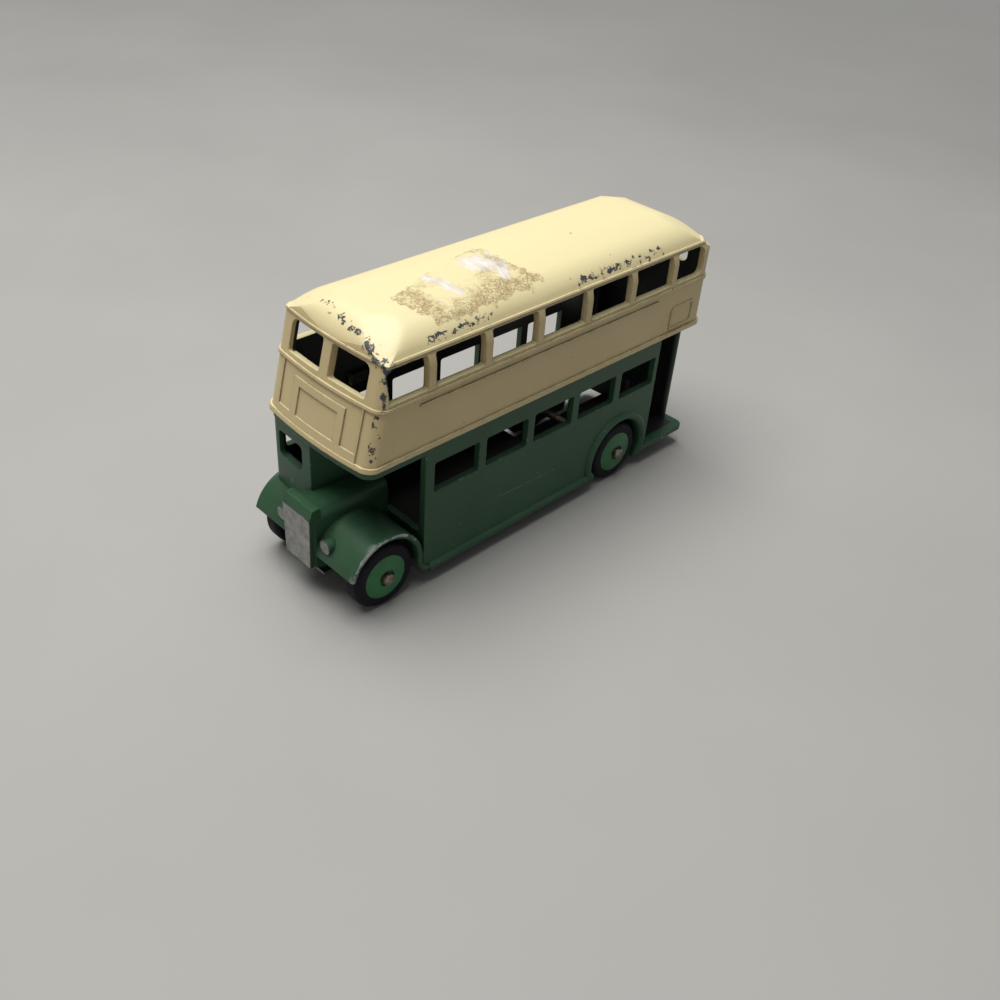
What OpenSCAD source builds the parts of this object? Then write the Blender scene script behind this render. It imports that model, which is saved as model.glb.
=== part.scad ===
// Half-cab double-deck toy bus: two die castings, a tinplate base, and rubber-tyred wheels
// that turn on two steel axles. X runs forward, Y to the platform side, Z up.
// The origin is on the ground under the middle of the bus.

/* [Overall] */
// Length from the radiator face to the rear moulding
overall_l = 101.5; // [92:0.5:112]
// Width over the lower deck side panels
panel_w = 29.7; // [29:0.1:30.4]
// How far each upper deck panel stands out from the lower one
deck_step = 0.15; // [0.1:0.05:0.3]
// Thickness of the cast walls
wall_t = 1.5; // [1.1:0.1:1.8]

/* [Heights] */
// Ground to the underside of the body
sill_z = 2.7; // [2.2:0.1:3.6]
// Height of the lower casting
lower_h = 29.8; // [28:0.1:33]
// Height from the joint of the castings to the gutter moulding
gutter_h = 19.6; // [19.4:0.1:22]

/* [Ends] */
// Radiator face ahead of the cab front
nose_l = 4.2; // [3.4:0.1:5.4]
// Cab front ahead of the saloon side panel
cab_l = 14.6; // [13:0.1:15.4]
// Length of the open rear platform
entrance_l = 14.2; // [12:0.1:16]
// Backward lean of the upper deck front, in degrees
front_rake = 13.5; // [8:0.5:16]
// Radius of the bowed front in plan
bow_r = 100; // [70:1:160]
// Radius of the bowed rear in plan
rear_bow_r = 160; // [120:1:200]
// Radius of the front corners in plan
front_corner_r = 2.6; // [2:0.1:3.2]
// Radius of the rear corners in plan
rear_corner_r = 2.3; // [2:0.1:3.4]

/* [Roof] */
// Radius of the roof camber
camber_r = 34; // [30:1:44]
// Radius of the roof along its side edges
roof_edge_r = 8; // [7:0.1:8.6]
// Radius of the roof along its length
roof_line_r = 1200; // [900:50:1600]
// Radius of the roof over the front windows
front_dome_r = 6.4; // [5.6:0.1:7]
// Lean of that dome where it meets the gutter, in degrees
front_dome_lean = 18; // [16:0.5:22]
// Radius of the roof at the rear
rear_dome_r = 11; // [10:0.1:12]
// Lean of the rear dome where it starts, in degrees
rear_dome_lean = 4; // [3:0.5:6]
// Radius of the curves that blunt the corners of the roof, along the diagonals
hip_r = 36; // [30:1:50]
// How far those curves rise from the gutter
hip_rise = 4.9; // [4.85:0.05:5.3]
// Their length in plan
hip_l = 11; // [10:0.1:11.5]
// How far they cut the corners back at the gutter
hip_set = 1.35; // [1:0.05:1.6]
// Start of the rear dome below the gutter moulding
rear_dome_drop = 5.5; // [5:0.1:6.4]

/* [Mouldings] */
// Radius of the half-round mouldings round the upper deck
bead_r = 0.45; // [0.35:0.05:0.5]
// Size of the sill moulding, as a share of the moulding at the joint
sill_bead_share = 0.7; // [0.6:0.05:0.9]
// Size of the gutter moulding, as a share of the moulding at the joint
gutter_share = 0.5; // [0.4:0.05:0.8]
// Height of the sill moulding above the joint
sill_bead_h = 11.4; // [10.8:0.1:11.6]
// How far raised frames stand out from a panel
frame_proud = 0.25; // [0.15:0.05:0.4]
// Width of a fine raised line on the side panels
line_w = 0.4; // [0.3:0.05:0.6]
// Height of the upper line of the side panel above the joint
side_line_h = 9.9; // [9:0.1:10.4]
// Front end of that line behind the deck front
side_line_front = 12.6; // [10:0.2:18]
// Rear end of that line ahead of the deck rear
side_line_rear = 17.8; // [14:0.2:22]

/* [Front panel] */
// Half the width over the frame of the front panel
front_frame_half = 7.3; // [6.5:0.1:8.5]
// Width of the upright bars of that frame
front_bar_w = 1.8; // [1:0.1:2.2]
// Depth of the cross bar of that frame
front_bar_h = 1.5; // [1:0.1:2]
// Top of the cross bar above the joint
front_bar_top = 9.5; // [8.6:0.1:10.2]
// Depth of the ledge under the front panel
front_ledge_h = 1.6; // [1.1:0.1:2]
// Upright lines near the corners, from the middle
corner_line_y = 11.3; // [10.6:0.1:12]

/* [Rear quarter panel] */
// Length of the small panel on the rear quarter
quarter_l = 7.7; // [6:0.1:8.4]
// Height of that panel
quarter_h = 5.3; // [4.6:0.1:6.2]
// Its rear edge ahead of the deck rear
quarter_inset = 4.9; // [4.2:0.1:5.6]
// Its lower edge above the joint
quarter_low = 1.7; // [1.4:0.1:2.4]
// Radius of its upper front corner
quarter_r = 1.6; // [1:0.1:2.4]

/* [Upper windows] */
// Sill of the windows above the joint
upper_sill_h = 12.3; // [12.2:0.1:12.5]
// Height of the windows
upper_win_h = 6.6; // [5.6:0.1:6.8]
// Width of the pillars between side windows
upper_pillar_w = 1.7; // [1.4:0.1:2.2]
// Number of full side windows between the end ones
upper_bays = 5; // [5:1:5]
// Front edge of the first side window behind the deck front
first_win_x = 5.7; // [5.6:0.1:7]
// Width of the first side window
first_win_w = 8.9; // [7.6:0.1:9.8]
// Rear edge of the last side window ahead of the deck rear
last_win_x = 3.6; // [3.4:0.1:4.6]
// Width of the last side window
last_win_w = 8.9; // [7:0.1:10]
// Corner radius of the full windows
win_r = 0.5; // [0.3:0.1:0.8]
// Radius of the rounded corners of the end windows
end_win_r = 1.5; // [1:0.1:2]
// Half the width of the pillar between the front windows
front_pillar_half = 1.2; // [1:0.1:1.8]
// Outer edge of the front windows from the middle
front_win_half = 10.9; // [10:0.1:11.4]
// Sill of the front windows above the joint
front_win_sill = 12.6; // [12.3:0.1:13]
// Height of the front windows
front_win_h = 6.3; // [5.4:0.1:6.5]
// Half the width of the rear window
rear_win_half = 9.5; // [7:0.1:10.4]
// Height of the rear window
rear_win_h = 5.8; // [5:0.1:6]

/* [Lower windows] */
// Sill of the saloon windows above the ground
lower_sill_z = 21.6; // [20.4:0.1:23]
// Height of the saloon windows
lower_win_h = 6.6; // [5.5:0.1:7.4]
// Number of saloon windows on each side
lower_bays = 5; // [5:1:5]
// Width of the pillars between them
lower_pillar_w = 1.9; // [1.5:0.1:2.4]
// Width of the post ahead of the first window
front_post_w = 2.2; // [1.8:0.1:3.6]
// Width of the post behind the last window
rear_post_w = 1.2; // [0.9:0.1:2]
// Width of the window in the back wall
back_win_w = 10; // [8:0.1:12]
// Middle of that window from the middle of the bus
back_win_y = 3; // [2:0.1:4]

/* [Cab] */
// Cab front behind the edge of the canopy
cab_set = 0.7; // [0.4:0.1:1]
// Radius of the front corners of the cab
cab_corner_r = 2; // [1.7:0.1:2.6]
// Width of the cab across its front
cab_w = 13; // [12:0.1:13.6]
// Sill of the cab windows above the ground
cab_sill_z = 22.7; // [21.6:0.1:24]
// Height of the cab windows
cab_win_h = 5.7; // [5:0.1:6.4]
// Width of the cab front window
cab_win_w = 7.8; // [7:0.1:8.4]
// Length of the cab side window
cab_side_win_l = 8.5; // [7:0.1:9.2]
// Corner radius of the cab windows
cab_win_r = 1; // [0.6:0.1:1.4]
// Thickness of the canopy over the bonnet
canopy_t = 1.6; // [1.2:0.1:2]

/* [Bonnet and radiator] */
// Width of the radiator at its top
rad_w = 8.5; // [7.8:0.1:9.2]
// Width of the radiator at its foot
rad_foot_w = 7.7; // [7:0.1:8.4]
// Foot of the radiator above the ground
rad_foot_z = 7; // [6.6:0.1:8]
// Height of the radiator
rad_h = 13.5; // [12.6:0.1:14.4]
// Depth of the radiator shell from front to back
rad_t = 2.6; // [2:0.1:3]
// Height of the sloping front of the header
header_h = 1.9; // [1.2:0.1:2.4]
// Run-back of the sloping front of the header
header_run = 0.8; // [0.4:0.1:1.2]
// Drop from the radiator top to the bonnet top
bonnet_drop = 0.5; // [0.3:0.1:0.9]
// Radius of the bonnet crown
bonnet_crown_r = 14; // [10:0.5:20]
// Radius of the bonnet shoulders
bonnet_edge_r = 2.2; // [1.5:0.1:2.8]
// Thickness of the bonnet walls
bonnet_wall = 1.2; // [0.9:0.1:1.5]

/* [Headlamps] */
// Diameter of a headlamp
lamp_d = 2.9; // [2.2:0.1:3.4]
// Middle of a headlamp from the middle of the bus
lamp_y = 6.8; // [6.2:0.1:7.4]
// Middle of a headlamp above the axle
lamp_rise = 6.4; // [5.8:0.1:6.9]
// Face of a headlamp ahead of the axle
lamp_reach = 8.1; // [7.6:0.1:8.6]
// Length of the straight barrel of a headlamp
lamp_barrel = 1.4; // [1:0.1:1.8]

/* [Wings and arches] */
// How far the wings, running boards and platform stand out from the side panels
wing_proud = 0.75; // [0.55:0.05:0.85]
// Thickness of the wings
wing_t = 1.1; // [0.9:0.1:1.3]
// Middle of the wing curve above the axle
wing_rise = 0.8; // [0.6:0.1:1.1]
// Room between tyre and wing
wing_gap = 0.8; // [0.7:0.1:1]
// Front edge of the wing above the axle
wing_front_h = 3.2; // [2.4:0.1:4]
// Radius of the rolled edge of the wings
wing_bead_r = 0.6; // [0.4:0.05:0.7]
// Radius of the rolled edge of the running boards and rear arches
board_r = 1.05; // [0.95:0.05:1.15]
// Radius of the sweep from wing to running board
sweep_r = 3; // [2:0.1:4]
// Room between tyre and rear arch
arch_gap = 1.2; // [0.9:0.1:1.5]
// Thickness of the wheel boxes
box_t = 1; // [0.8:0.1:1.3]

/* [Platform] */
// Ground to the top of the rear platform
platform_z = 5.1; // [4.6:0.1:6]
// Thickness of the platform
platform_t = 1.1; // [0.9:0.1:1.6]
// Inner edge of the platform from the middle
platform_y = 8.9; // [8:0.1:9.6]
// Corner radius of the platform
platform_r = 2; // [1.4:0.1:2.6]
// Near edge of the back wall from the middle
back_edge_y = 10.1; // [9.6:0.1:11.2]

/* [Wheels] */
// Diameter of the tyres
tyre_d = 14; // [13.4:0.1:14.4]
// Width of the tyres
tyre_w = 4; // [3.4:0.1:4.3]
// Radius of the tyre shoulders
tyre_r = 1.1; // [0.7:0.1:1.4]
// Diameter of the hubs
hub_d = 9.5; // [8.4:0.1:10.4]
// Depth of the tyre seat below the hub edge
seat_drop = 0.6; // [0.4:0.05:0.8]
// How far the tyre is stretched over its seat, on the radius
tyre_squeeze = 0.05; // [0.02:0.01:0.1]
// How far the outer faces of the tyres stand inside the side panels
tyre_inset = 0.15; // [-0.15:0.05:0.35]
// Crown of the hub face
hub_crown = 0.6; // [0.3:0.05:0.8]
// Diameter of the recess round the axle end
dish_d = 3.4; // [3:0.1:4.2]
// Depth of that recess
dish_t = 0.5; // [0.3:0.05:0.7]
// Rear overhang, from the rear moulding to the axle
rear_overhang = 25; // [23.6:0.1:26]
// Front overhang, from the radiator face to the axle
front_overhang = 9.4; // [9.2:0.1:10]

/* [Axles] */
// Diameter of the axles
axle_d = 1.8; // [1.5:0.05:2.1]
// Diameter of the mushroomed axle ends
axle_head_d = 2.4; // [2.2:0.05:2.8]
// How far the mushroomed axle ends stand out past the side panels
axle_proud = 1.55; // [1.25:0.05:2.1]
// Straight thickness of an axle end
axle_head_t = 0.5; // [0.35:0.05:0.7]
// Room round an axle in its bearings and in the hubs
axle_fit = 0.05; // [0.03:0.01:0.08]
// How far the outer faces of the axle bearings stand inside the side panels
bearing_inset = 4.75; // [4.65:0.05:5.4]
// Thickness of the axle bearings
bearing_t = 1.4; // [1:0.1:1.8]

/* [Base] */
// Thickness of the tinplate base
base_t = 0.6; // [0.4:0.05:0.8]
// Room round the base inside the lower casting
base_gap = 0.15; // [0.1:0.05:0.3]
// Width of the base between the wheels
base_waist_w = 15.6; // [14:0.1:16.6]
// Width of the front tongue of the base
base_tongue_w = 5.6; // [5:0.1:6.4]
// Diameter of the posts that carry the base
post_d = 3.6; // [3.2:0.1:4]
// Front post behind the radiator face
front_post_x = 5.6; // [5:0.1:6.2]
// Rear post ahead of the rear moulding
rear_post_x = 4.8; // [4.2:0.1:5.6]
// Height of the rear post above the base
rear_post_h = 9; // [7:0.1:12]
// Diameter of the rivet shanks
rivet_d = 1.8; // [1.5:0.05:2]
// Diameter of the rivet heads
rivet_head_d = 3.2; // [2.8:0.1:3.6]
// Length of the rivet shanks inside the posts
rivet_grip = 4; // [3:0.1:5]
// How far a rivet swells in its post, on the radius
rivet_swell = 0.03; // [0.02:0.01:0.05]

/* [Deck joint] */
// Depth of the ribs that locate the upper casting in the lower one
rib_drop = 1.2; // [0.8:0.1:1.6]
// Thickness of those ribs
rib_t = 1; // [0.8:0.1:1.4]
// Room between rib and lower casting
rib_gap = 0.1; // [0.05:0.05:0.2]
// Length of the ribs
rib_l = 60; // [40:1:64]

/* [Hidden] */
$fn = 96;

// Shares of other sizes
roll_share = 0.6;
foot_share = 1.4;
sill_share = 0.5;
opening_share = 0.6;
web_share = 0.5;
lip_share = 0.25;
flange_share = 0.25;
boss_share = 0.1;
dome_share = 0.8;
slack_share = 0.4;
sink_share = 0.1;
head_share = 0.7;
rear_sill_share = 0.5;

// Cuts run past the faces that they open by this much
overrun = wall_t;
// Length that reaches past the bus at both ends
reach = 2 * overall_l;

half_l = overall_l / 2;
panel_half = panel_w / 2;
deck_half = panel_half + deck_step;
wing_half = panel_half + wing_proud;

// The curves of the roof edge and of the front corners start this much outside the panels
gutter_ease = deck_step / 2;
corner_ease = deck_step;

joint_z = sill_z + lower_h;
gutter_z = joint_z + gutter_h;

deck_front = half_l - nose_l;
deck_rear = -half_l + bead_r;
canopy_front = deck_front - deck_step;
cab_front = canopy_front - cab_set;
back_x = deck_rear + deck_step;
saloon_front = deck_front - cab_l;
saloon_rear = -half_l + entrance_l;
cab_inner = cab_w - panel_half;

axle_z = tyre_d / 2;
front_axle_x = half_l - front_overhang;
rear_axle_x = -half_l + rear_overhang;

// Roof along its length: two domes and the long curve that touches both
gutter_x = deck_front - gutter_h * tan(front_rake);
front_ray = [cos(front_dome_lean), sin(front_dome_lean)];
rear_ray = [-cos(rear_dome_lean), sin(rear_dome_lean)];
front_dome = [gutter_x, gutter_z] - front_dome_r * front_ray;
rear_dome = [deck_rear, gutter_z - rear_dome_drop] - rear_dome_r * rear_ray;
dome_gap = norm(front_dome - rear_dome);
dome_dir = (front_dome - rear_dome) / dome_gap;
line_front_r = roof_line_r - front_dome_r;
line_rear_r = roof_line_r - rear_dome_r;
line_along = (pow(line_rear_r, 2) - pow(line_front_r, 2) + pow(dome_gap, 2)) / (2 * dome_gap);
line_below = sqrt(pow(line_rear_r, 2) - pow(line_along, 2));
roof_line = rear_dome + line_along * dome_dir + line_below * [dome_dir.y, -dome_dir.x];
top_z = roof_line.y + roof_line_r;

// Where the domes and the roof edge meet at the gutter: how far out on the diagonals
edge_half = deck_half + gutter_ease;
edge_z = crown_corner(edge_half, top_z, camber_r, roof_edge_r);
edge_y = edge_half - roof_edge_r + sqrt(pow(roof_edge_r, 2) - pow(gutter_z - edge_z, 2));
rear_edge_x = rear_dome.x - sqrt(pow(rear_dome_r, 2) - pow(gutter_z - rear_dome.y, 2));
front_hip = (gutter_x + edge_y) / sqrt(2) - hip_set;
rear_hip = (edge_y - rear_edge_x) / sqrt(2) - hip_set;

// Wing and arch curves, about the axles
wing_in_r = tyre_d / 2 + wing_gap;
wing_out_r = wing_in_r + wing_t;
wing_mid_r = wing_in_r + wing_t / 2;
wing_z = axle_z + wing_rise;
wing_top = wing_z + wing_out_r;
wing_start = asin((wing_front_h - wing_rise) / wing_mid_r);
arch_r = tyre_d / 2 + arch_gap;
rim_r = arch_r + board_r;
board_z = sill_z + board_r;
board_y = wing_half - board_r;
bead_y = wing_half - wing_bead_r - deck_step;

// The sweep touches the wing curve and lies on the running board
sweep_z = board_z + sweep_r;
sweep_x = front_axle_x - sqrt(pow(wing_mid_r + sweep_r, 2) - pow(wing_z - sweep_z, 2));
sweep_angle = asin((wing_z - sweep_z) / (wing_mid_r + sweep_r));
// Where the rear rims come down to the running board
rim_reach = sqrt(pow(rim_r, 2) - pow(axle_z - board_z, 2));

// Windows of the saloon and the upper deck take what their posts leave
lower_win_x = saloon_front - front_post_w;
lower_win_w = (lower_win_x - saloon_rear - rear_post_w - (lower_bays - 1) * lower_pillar_w)
    / lower_bays;
lower_pitch = lower_win_w + lower_pillar_w;
first_front = deck_front - first_win_x;
last_rear = deck_rear + last_win_x;
upper_win_x = first_front - first_win_w - upper_pillar_w;
upper_win_w = (upper_win_x - last_rear - last_win_w - upper_bays * upper_pillar_w) / upper_bays;
upper_pitch = upper_win_w + upper_pillar_w;

// Bonnet, radiator and cab
rad_back = half_l - rad_t;
rad_top = rad_foot_z + rad_h;
bonnet_top = rad_top - bonnet_drop;
bonnet_half = rad_w / 2;
canopy_z = joint_z - canopy_t;
cab_floor_z = wing_top + wing_t / 2;
cab_mid_y = (cab_inner - panel_half) / 2;
cab_mid_x = (saloon_front + cab_front) / 2;
bulkhead_z = wing_top - wing_out_r * sill_share;
opening_r = canopy_t * opening_share;

// The back wall bows in by this much at its rolled edge
back_bow = rear_bow_r - sqrt(pow(rear_bow_r, 2) - pow(back_edge_y, 2));
back_roll_r = wall_t * roll_share;

// Base, and the posts and rivets that carry it
base_top = sill_z + base_t;
base_front = min(sweep_x, saloon_front - wall_t) - base_gap;
base_rear = back_x + wall_t + base_gap;
base_waist_x = rear_axle_x + arch_r + box_t + base_gap;
base_half = panel_half - wall_t - base_gap;
front_post = half_l - front_post_x;
rear_post = -half_l + rear_post_x;
rivet_sink = base_t * sink_share;
rivet_head_h = base_t * head_share;

// Wheels and axles
wheel_in = panel_half - tyre_inset - tyre_w;
bearing_y = panel_half - bearing_inset;
axle_span = panel_w + 2 * axle_proud;
seat_r = hub_d / 2 - seat_drop;
hub_flange_t = tyre_w * flange_share;
hub_boss_h = tyre_w * boss_share;
hub_dome_r = (pow(hub_d / 2, 2) + pow(hub_crown, 2)) / (2 * hub_crown);
tyre_lip_r = tyre_r * lip_share;
bore_r = axle_d / 2 + axle_fit;
axle_room = axle_d * slack_share;
axle_crown = axle_head_t * dome_share;
axle_dome_r = (pow(axle_head_d / 2, 2) + pow(axle_crown, 2)) / (2 * axle_crown);
bearing_foot = bearing_t * foot_share;

// Ribs that locate the upper casting
rib_out = panel_half - wall_t - rib_gap;
rib_mid = (saloon_front + saloon_rear) / 2;

// Height up the raked front for a height above the joint
function rake_up(h) = (h - deck_front * cos(front_rake) * sin(front_rake)) / cos(front_rake);

// Point that lies outward of one dome from the middle of the long roof curve
function outward(dome) = dome + reach * (dome - roof_line) / norm(dome - roof_line);

// Centre of the corner circles under a crown that reaches to high
function crown_corner(half_w, high, crown_r, corner_r) =
    high - crown_r + sqrt(pow(crown_r - corner_r, 2) - pow(half_w - corner_r, 2));

// Half the angle that a crown spans between its corner circles
function crown_angle(half_w, crown_r, corner_r) =
    asin((half_w - corner_r) / (crown_r - corner_r));

// Strip along +X that ends in a crown with round corners
module crowned(half_w, low, high, crown_r, corner_r) {
    corner_x = crown_corner(half_w, high, crown_r, corner_r);
    corner_y = half_w - corner_r;
    angle = crown_angle(half_w, crown_r, corner_r);
    far = crown_r + half_w;
    centre_x = high - crown_r;
    translate([low, -half_w]) square([corner_x - low, 2 * half_w]);
    for (side = [-1, 1]) translate([corner_x, side * corner_y]) circle(corner_r);
    intersection() {
        translate([centre_x, 0]) circle(crown_r);
        polygon([[corner_x, -corner_y],
            [centre_x + far * cos(angle), -far * sin(angle)],
            [centre_x + far * cos(angle), far * sin(angle)],
            [corner_x, corner_y]]);
    }
}

// Rectangle from its low corner, with the radius of each corner in turn:
// low left, low right, high right, high left
module round_rect(w, h, radii) {
    spots = [[0, 0], [1, 0], [1, 1], [0, 1]];
    difference() {
        square([w, h]);
        for (i = [0 : 3])
            translate([spots[i].x * (w - radii[i]), spots[i].y * (h - radii[i])])
                square(radii[i]);
    }
    for (i = [0 : 3])
        translate([spots[i].x * (w - 2 * radii[i]) + radii[i],
            spots[i].y * (h - 2 * radii[i]) + radii[i]])
            circle(radii[i]);
}

// Extrudes an outline in X and Z along Y
module along_y(from, to) {
    translate([0, to, 0]) rotate([90, 0, 0]) linear_extrude(to - from) children();
}

// Extrudes an outline in Y and Z along X
module along_x(from, to) {
    translate([from, 0, 0]) rotate([90, 0, 90]) linear_extrude(to - from) children();
}

// Extrudes an outline in Y and slope height square to the raked front, measured from its face
module on_front(from, to) {
    translate([0, 0, joint_z]) rotate([0, -front_rake, 0])
        translate([deck_front * cos(front_rake), 0, 0]) along_x(from, to) children();
}

module both_sides() {
    children();
    mirror([0, 1, 0]) children();
}

// Part of a ring of round section about Y, between two angles from +X upward
module ring_arc(ring_r, tube_r, from, to) {
    rotate([90, 0, 0]) rotate(from) rotate_extrude(angle = to - from)
        translate([ring_r, 0]) circle(tube_r);
}

// Raked and bowed front of the upper deck, drawn in by inset
module front_form(inset) {
    translate([0, 0, joint_z]) rotate([0, -front_rake, 0]) translate([0, 0, -overall_l / 2])
        linear_extrude(overall_l) crowned(deck_half + corner_ease - inset, -overall_l,
            deck_front * cos(front_rake) - inset, bow_r - inset, front_corner_r - inset);
}

module rear_form(inset) {
    linear_extrude(reach) mirror([1, 0]) crowned(deck_half - inset, -reach,
        -deck_rear - inset, rear_bow_r - inset, rear_corner_r - inset);
}

// Section of the upper deck across the bus, along its whole length
module cross_form(inset) {
    along_x(-overall_l, overall_l) rotate(90) crowned(deck_half + gutter_ease - inset, 0,
        top_z - inset, camber_r - inset, roof_edge_r - inset);
}

// Side view of the upper deck from low upward, in X and Z; the raked front trims it
module roof_outline(inset, low) {
    intersection() {
        translate(roof_line) circle(roof_line_r - inset);
        polygon([rear_dome, front_dome, outward(front_dome), outward(rear_dome)]);
    }
    translate(front_dome) circle(front_dome_r - inset);
    translate(rear_dome) circle(rear_dome_r - inset);
    polygon([[-reach, low], [reach, low], front_dome + reach * front_ray, front_dome,
        rear_dome, rear_dome + reach * rear_ray]);
}

// Curve that blunts one roof corner, on a diagonal of the plan, inward from far_out
module hip_form(far_out, inset) {
    chord = norm([hip_l, hip_rise]);
    drop = sqrt(pow(hip_r, 2) - pow(chord / 2, 2));
    along_y(-overall_l, overall_l) {
        translate([far_out - hip_l / 2 - drop * hip_rise / chord,
            gutter_z + hip_rise / 2 - drop * hip_l / chord]) circle(hip_r - inset);
        translate([-reach, 0]) square([reach + far_out - hip_l, reach]);
    }
}

module hips(inset) {
    intersection() {
        rotate(45) hip_form(front_hip, inset);
        rotate(-45) hip_form(front_hip, inset);
        rotate(135) hip_form(rear_hip, inset);
        rotate(-135) hip_form(rear_hip, inset);
    }
}

module deck_form(inset, low) {
    intersection() {
        rear_form(inset);
        cross_form(inset);
        along_y(-overall_l, overall_l) roof_outline(inset, low);
        front_form(inset);
        hips(inset);
    }
}

// Moulding of one radius round the upper deck, with its middle at one height
module bead_band(z, r) {
    intersection() {
        rear_form(-r);
        cross_form(-r);
        along_y(-overall_l, overall_l) roof_outline(-r, 0);
        front_form(-r);
        translate([-reach, -reach, z - r]) cube([2 * reach, 2 * reach, 2 * r]);
    }
}

// Raised frame of the front panel, seen from the front
module front_frame() {
    ledge_z = joint_z + bead_r;
    top_bar = joint_z + front_bar_top;
    for (side = [-1, 1]) {
        translate([side * (front_frame_half - front_bar_w / 2) - front_bar_w / 2, ledge_z])
            square([front_bar_w, top_bar - ledge_z]);
        translate([side * corner_line_y - line_w / 2, ledge_z])
            square([line_w, sill_bead_h - bead_r]);
    }
    translate([-front_frame_half, top_bar - front_bar_h])
        square([2 * front_frame_half, front_bar_h]);
    translate([-corner_line_y, ledge_z]) square([2 * corner_line_y, front_ledge_h + bead_r]);
}

// Raised lines of the side panel, seen from the side
module side_frames() {
    line_x = deck_rear + side_line_rear;
    translate([line_x, joint_z + side_line_h - line_w / 2])
        square([deck_front - side_line_front - line_x, line_w]);
    translate([deck_rear + quarter_inset, joint_z + quarter_low]) difference() {
        round_rect(quarter_l, quarter_h, [win_r, win_r, quarter_r, win_r]);
        translate([line_w, line_w]) round_rect(quarter_l - 2 * line_w, quarter_h - 2 * line_w,
            [win_r, win_r, quarter_r - line_w, win_r]);
    }
}

// Side windows of the upper deck, seen from the side
module upper_side_windows() {
    translate([0, joint_z + upper_sill_h]) {
        translate([first_front - first_win_w, 0])
            round_rect(first_win_w, upper_win_h, [win_r, win_r, end_win_r, win_r]);
        for (i = [1 : upper_bays])
            translate([upper_win_x - i * upper_pitch + upper_pillar_w, 0])
                round_rect(upper_win_w, upper_win_h, [win_r, win_r, win_r, win_r]);
        translate([last_rear, 0])
            round_rect(last_win_w, upper_win_h, [end_win_r, win_r, win_r, end_win_r]);
    }
}

module upper_deck() {
    rear_sill = joint_z + upper_sill_h + bead_r * rear_sill_share;
    color([0.93, 0.88, 0.68]) union() {
        difference() {
            union() {
                deck_form(0, joint_z);
                bead_band(joint_z + bead_r, bead_r);
                bead_band(joint_z + sill_bead_h, bead_r * sill_bead_share);
                intersection() {
                    bead_band(gutter_z, bead_r * gutter_share);
                    hips(-bead_r * gutter_share);
                }
                intersection() {
                    front_form(-frame_proud);
                    along_x(saloon_front, half_l) front_frame();
                }
                both_sides() along_y(deck_half - wall_t / 2, deck_half + frame_proud)
                    side_frames();
            }
            deck_form(wall_t, joint_z - overrun);
            both_sides() along_y(deck_half - 2 * wall_t, deck_half + overrun)
                upper_side_windows();
            both_sides() on_front(-2 * wall_t, overrun)
                translate([front_pillar_half, rake_up(front_win_sill)])
                    round_rect(front_win_half - front_pillar_half,
                        rake_up(front_win_sill + front_win_h) - rake_up(front_win_sill),
                        [win_r, win_r, end_win_r, win_r]);
            along_x(-half_l - overrun, deck_rear + 3 * wall_t)
                translate([-rear_win_half, rear_sill]) round_rect(2 * rear_win_half, rear_win_h,
                    [end_win_r, end_win_r, end_win_r, end_win_r]);
        }
        both_sides() translate([rib_mid - rib_l / 2, rib_out - rib_t, joint_z - rib_drop]) {
            cube([rib_l, rib_t, 2 * rib_drop]);
            translate([0, 0, rib_drop])
                cube([rib_l, deck_half - wall_t / 2 - rib_out + rib_t, rib_drop]);
        }
    }
}

// Plan of the lower saloon, drawn in by inset and ending square at its front
module saloon_plan(inset, front) {
    mirror([1, 0]) crowned(panel_half - inset, -front, -back_x - inset,
        rear_bow_r - inset, rear_corner_r - inset);
}

// Plan of the cab, drawn in by inset, on the right of one line
module cab_plan(inset, rear, left) {
    intersection() {
        crowned(panel_half - inset, rear, cab_front - inset, rear_bow_r - inset,
            cab_corner_r - inset);
        translate([-reach, -reach]) square([2 * reach, reach + left]);
    }
}

// Bonnet section along X, drawn in by inset
module bonnet_form(inset, low, from, to) {
    along_x(from, to) rotate(90) crowned(bonnet_half - inset, low, bonnet_top - inset,
        bonnet_crown_r - inset, bonnet_edge_r - inset);
}

// Room for the wheels, from one width outward on both sides
module wheel_room(x, z, r, inner) {
    both_sides() along_y(inner, wing_half + overrun) translate([x, z]) circle(r);
}

// Corner that the sweep leaves open below the foot of a wing, seen from the side
module sweep_corner() {
    translate([sweep_x, sweep_z]) difference() {
        translate([0, -sweep_z]) square([front_axle_x - sweep_x, sweep_z]);
        circle(sweep_r);
    }
}

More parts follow.
